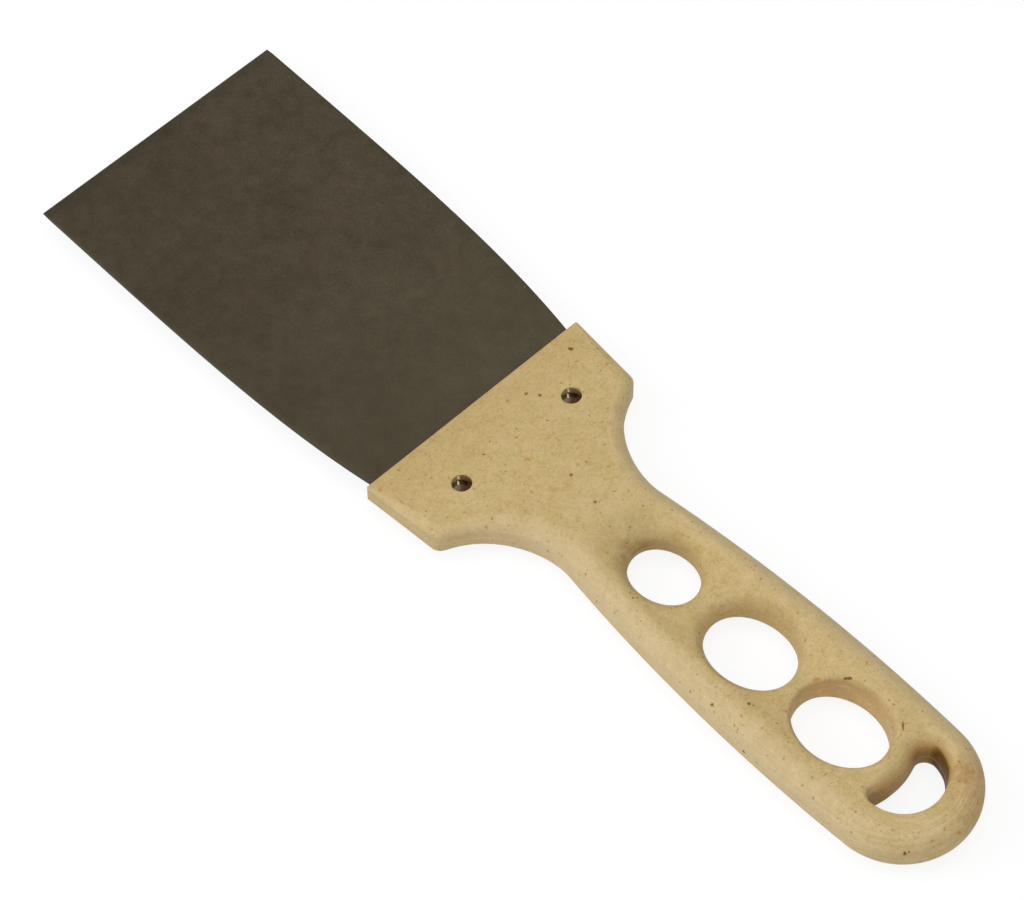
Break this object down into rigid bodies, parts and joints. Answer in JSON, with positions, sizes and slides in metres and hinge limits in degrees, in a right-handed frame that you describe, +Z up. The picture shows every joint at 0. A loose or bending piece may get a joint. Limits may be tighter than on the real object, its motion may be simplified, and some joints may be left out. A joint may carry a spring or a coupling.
{
  "type": "putty knife",
  "caption": "Putty knife with a thin, slightly tapered steel blade riveted by its tang between two moulded handle scales with grip holes and a crescent hang slot.",
  "frame": {"origin": "middle of the box round the knife, on the surface that it lies on", "axes": "+X along the knife from the tail to the cutting edge, +Z up, square to the flat of the blade"},
  "size_m": [0.2232, 0.06, 0.01],
  "materials": {
    "blade_steel": "dark matt rolled sheet",
    "handle_composite": "tan moulded wood-fibre composite with dark flecks",
    "rivet_steel": "plain bright steel"
  },
  "bodies": {
    "root": {"blade": "blade_steel", "upper_scale": "handle_composite", "lower_scale": "handle_composite", "left_rivet": "rivet_steel", "right_rivet": "rivet_steel"}
  },
  "joints": []
}
